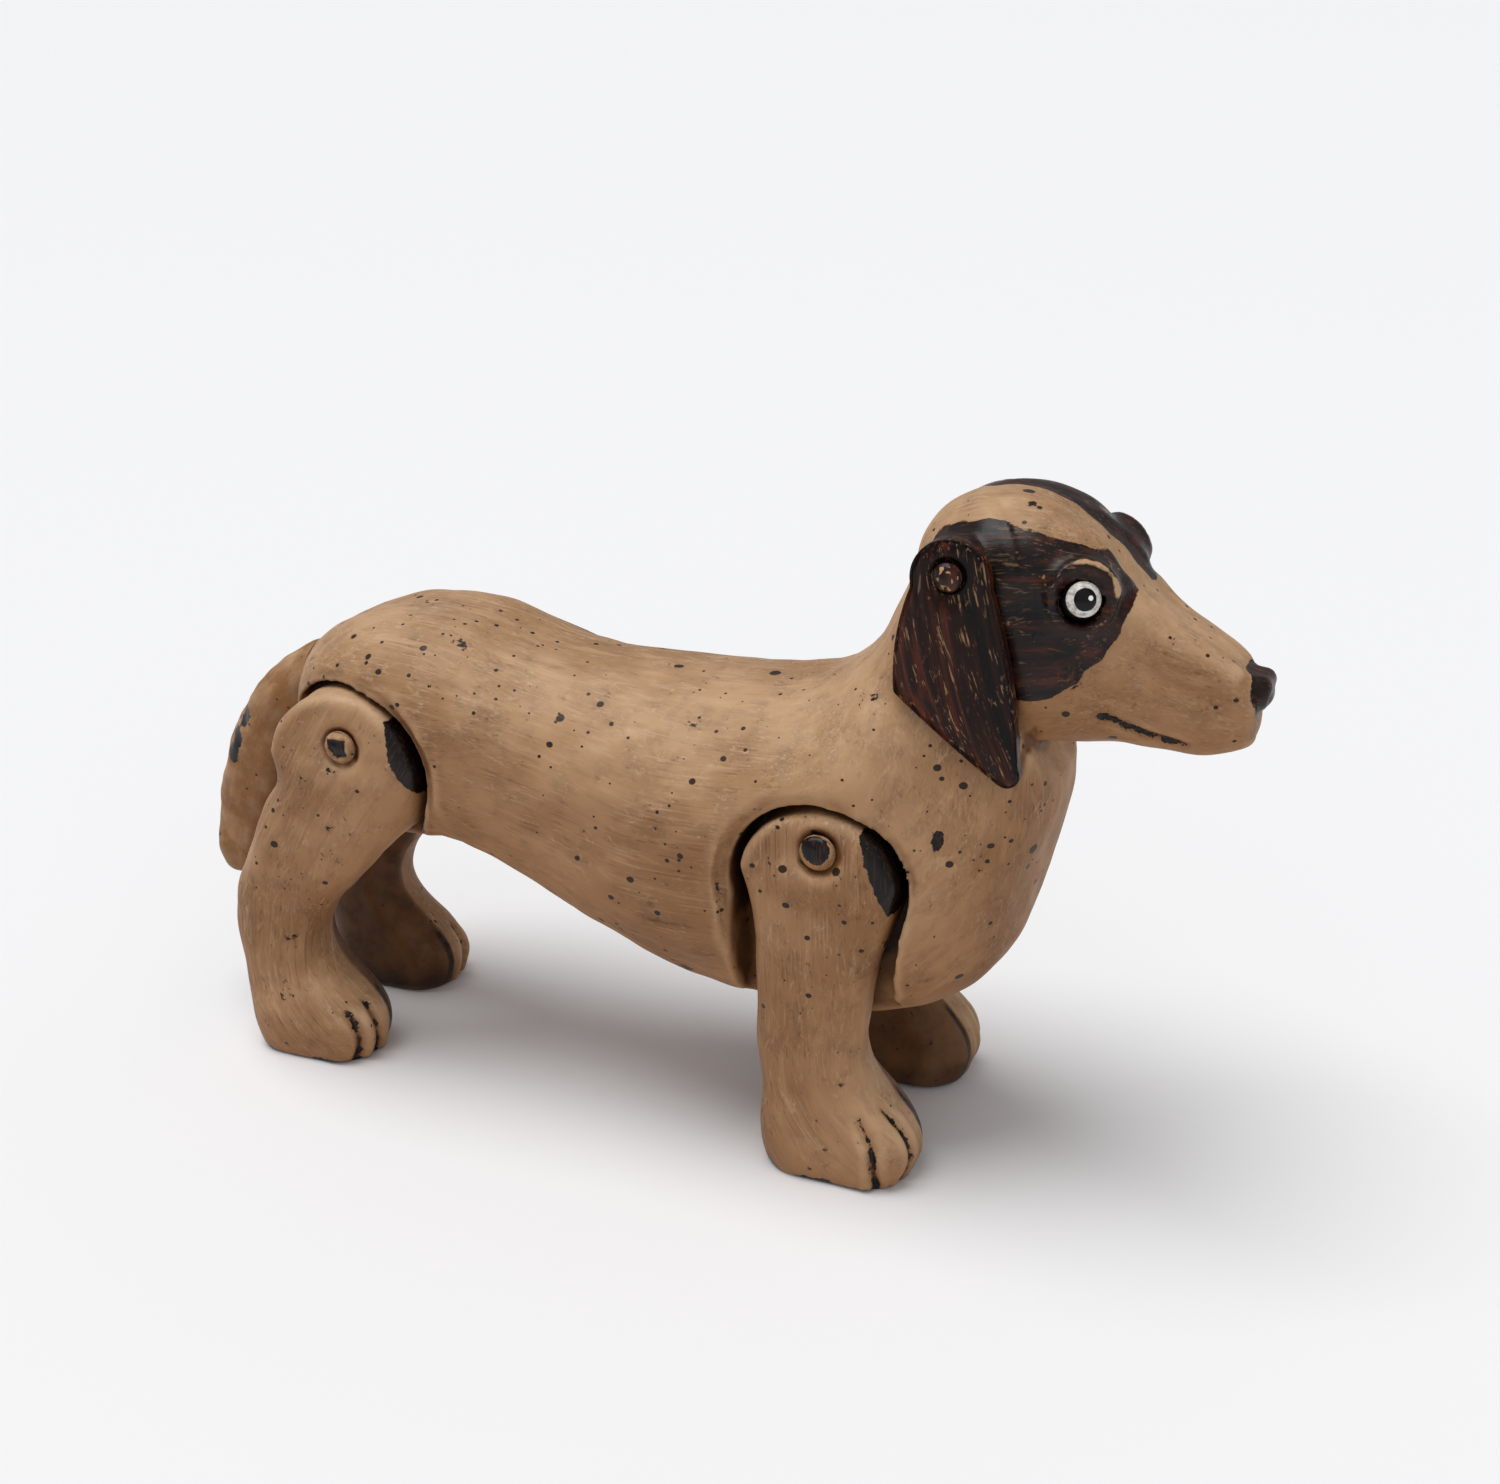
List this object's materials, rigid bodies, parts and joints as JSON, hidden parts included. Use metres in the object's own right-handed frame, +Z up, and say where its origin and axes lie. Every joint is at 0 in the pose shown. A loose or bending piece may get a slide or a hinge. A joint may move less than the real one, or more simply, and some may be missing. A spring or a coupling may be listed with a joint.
{
  "type": "jointed dog figurine",
  "caption": "Long-bodied, short-legged dog figurine with pegged legs that swing in round-topped pockets, pegged hanging ears, a pegged tail and set-in bead eyes; stands free on its feet.",
  "frame": {"origin": "on the floor, at the middle of the figure's length and width", "axes": "+X along the body towards the nose, +Y to the dog's left, +Z up"},
  "size_m": [0.2642, 0.0744, 0.1574],
  "materials": {
    "painted_wood": "matte",
    "dark_wood": "satin",
    "dowel_wood": "matte",
    "eye_glass": "gloss"
  },
  "bodies": {
    "body": {"trunk": "painted_wood", "tail": "painted_wood", "tail_dowel": "dowel_wood", "front_leg_peg_right": "dark_wood", "hind_leg_peg_right": "dark_wood", "ear_peg_right": "dark_wood", "eye_right": "eye_glass", "front_leg_peg_left": "dark_wood", "hind_leg_peg_left": "dark_wood", "ear_peg_left": "dark_wood", "eye_left": "eye_glass"},
    "front_leg_right_turning": {"front_leg_right": "painted_wood"},
    "hind_leg_right_turning": {"hind_leg_right": "painted_wood"},
    "ear_right_turning": {"ear_right": "dark_wood"},
    "front_leg_left_turning": {"front_leg_left": "painted_wood"},
    "hind_leg_left_turning": {"hind_leg_left": "painted_wood"},
    "ear_left_turning": {"ear_left": "dark_wood"}
  },
  "joints": [
    {"name": "front_leg_right_swing", "type": "hinge", "parent": "body", "child": "front_leg_right_turning", "pos_m": [0.0446, -0.0278, 0.0826], "axis": [0, 1, 0], "range_deg": [-5, 5]},
    {"name": "hind_leg_right_swing", "type": "hinge", "parent": "body", "child": "hind_leg_right_turning", "pos_m": [-0.075, -0.0238, 0.0873], "axis": [0, 1, 0], "range_deg": [-5, 5]},
    {"name": "ear_right_swing", "type": "hinge", "parent": "body", "child": "ear_right_turning", "pos_m": [0.0684, -0.0243, 0.144], "axis": [0, 1, 0], "range_deg": [-20, 8]},
    {"name": "front_leg_left_swing", "type": "hinge", "parent": "body", "child": "front_leg_left_turning", "pos_m": [0.0446, 0.0278, 0.0826], "axis": [0, 1, 0], "range_deg": [-5, 5]},
    {"name": "hind_leg_left_swing", "type": "hinge", "parent": "body", "child": "hind_leg_left_turning", "pos_m": [-0.075, 0.0238, 0.0873], "axis": [0, 1, 0], "range_deg": [-5, 5]},
    {"name": "ear_left_swing", "type": "hinge", "parent": "body", "child": "ear_left_turning", "pos_m": [0.0684, 0.0243, 0.144], "axis": [0, 1, 0], "range_deg": [-20, 8]}
  ]
}
